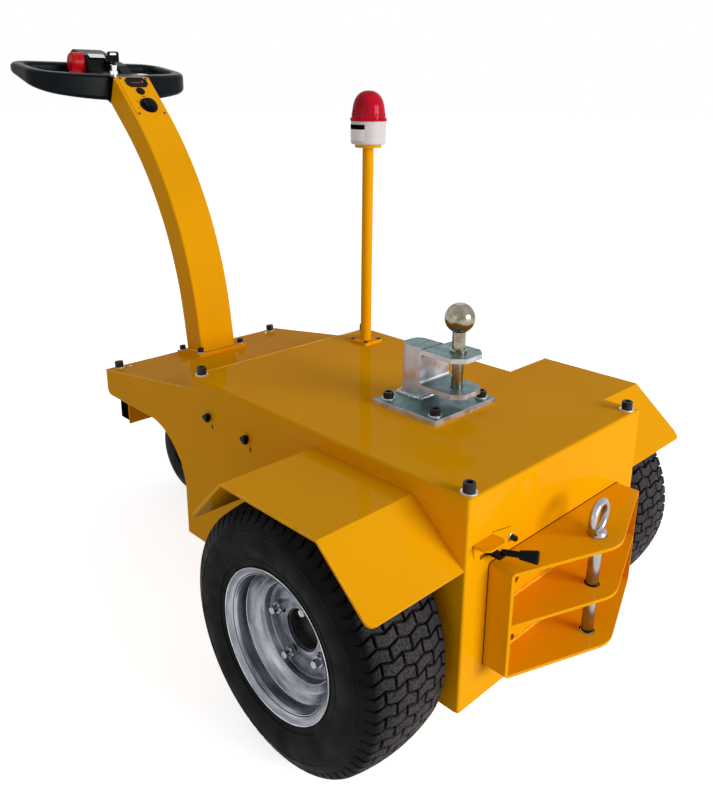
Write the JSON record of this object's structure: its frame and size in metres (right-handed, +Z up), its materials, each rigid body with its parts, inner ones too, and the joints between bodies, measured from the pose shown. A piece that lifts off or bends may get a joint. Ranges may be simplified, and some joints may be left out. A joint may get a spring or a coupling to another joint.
{
  "type": "pedestrian electric baggage tug",
  "caption": "Walk-behind electric baggage tug: box body, drive wheels under folded fenders, nose caster, curved tiller, pin coupler, tow ball and beacon.",
  "frame": {"origin": "on the ground under the middle of the bounding box", "axes": "+X forward to the tiller, +Y to the left, +Z up"},
  "size_m": [1.529, 0.816, 1.0416],
  "materials": {
    "yellow": "gloss powder coat",
    "battery": "moulded case",
    "dark_steel": "dark machined",
    "black_plastic": "satin",
    "black_gloss": "gloss",
    "zinc": "bright zinc plate",
    "brass_zinc": "yellow zinc plate",
    "galvanised": "galvanised",
    "white_plastic": "gloss",
    "red_lens": "tinted lens",
    "red_plastic": "gloss",
    "chrome": "polished",
    "tyre": "matte",
    "grey_plastic": "satin"
  },
  "bodies": {
    "chassis": {"side_plate_left": "yellow", "side_plate_right": "yellow", "rear_panel": "yellow", "front_bulkhead": "yellow", "floor_plate": "yellow", "lid": "yellow", "nose_deck": "yellow", "nose_front_panel": "yellow", "caster_bracket": "yellow", "fender_left": "yellow", "fender_right": "yellow", "battery_block": "battery", "axle_housing": "dark_steel", "coupler_frame": "yellow", "coupler_shelf": "yellow", "latch_lever": "black_plastic", "hitch_plate": "zinc", "hitch_post": "zinc", "hitch_clevis": "zinc", "beacon_pole": "yellow", "beacon_base": "white_plastic", "beacon_dome": "red_lens", "column_flange": "yellow", "column": "yellow", "control_panel": "yellow", "battery_meter": "black_gloss", "horn_button": "black_plastic", "speed_knob": "black_plastic", "handle_loop": "black_plastic", "handle_pod": "black_plastic", "throttle": "red_plastic", "key_switch": "chrome", "key": "black_plastic", "front_lamp_left": "black_plastic", "front_lamp_right": "black_plastic", "caster_plate": "zinc"},
    "wheel_left": {"tyre_left": "tyre", "rim_left": "galvanised", "hub_left": "dark_steel"},
    "wheel_right": {"tyre_right": "tyre", "rim_right": "galvanised", "hub_right": "dark_steel"},
    "caster_swivel": {"caster_fork": "zinc"},
    "caster_wheel": {"caster_tyre": "tyre", "caster_rim": "grey_plastic"},
    "coupling_pin": {"coupling_pin": "zinc"},
    "ball_pin": {"ball_pin": "brass_zinc"}
  },
  "joints": [
    {"name": "wheel_left_spin", "type": "hinge", "parent": "chassis", "child": "wheel_left", "pos_m": [-0.46451, 0.323, 0.205], "axis": [0, 1, 0], "continuous": true},
    {"name": "wheel_right_spin", "type": "hinge", "parent": "chassis", "child": "wheel_right", "pos_m": [-0.46451, -0.323, 0.205], "axis": [0, 1, 0], "continuous": true},
    {"name": "caster_swivel", "type": "hinge", "parent": "chassis", "child": "caster_swivel", "pos_m": [0.26749, 0, 0.24], "axis": [0, 0, 1], "continuous": true},
    {"name": "caster_wheel_spin", "type": "hinge", "parent": "caster_swivel", "child": "caster_wheel", "pos_m": [0.34449, 0, 0.108], "axis": [0, 1, 0], "continuous": true},
    {"name": "coupling_pin_lift", "type": "slide", "parent": "chassis", "child": "coupling_pin", "axis": [0, 0, 1], "range_m": [0, 0.2]},
    {"name": "ball_pin_lift", "type": "slide", "parent": "chassis", "child": "ball_pin", "axis": [0, 0, 1], "range_m": [0, 0.1]}
  ]
}
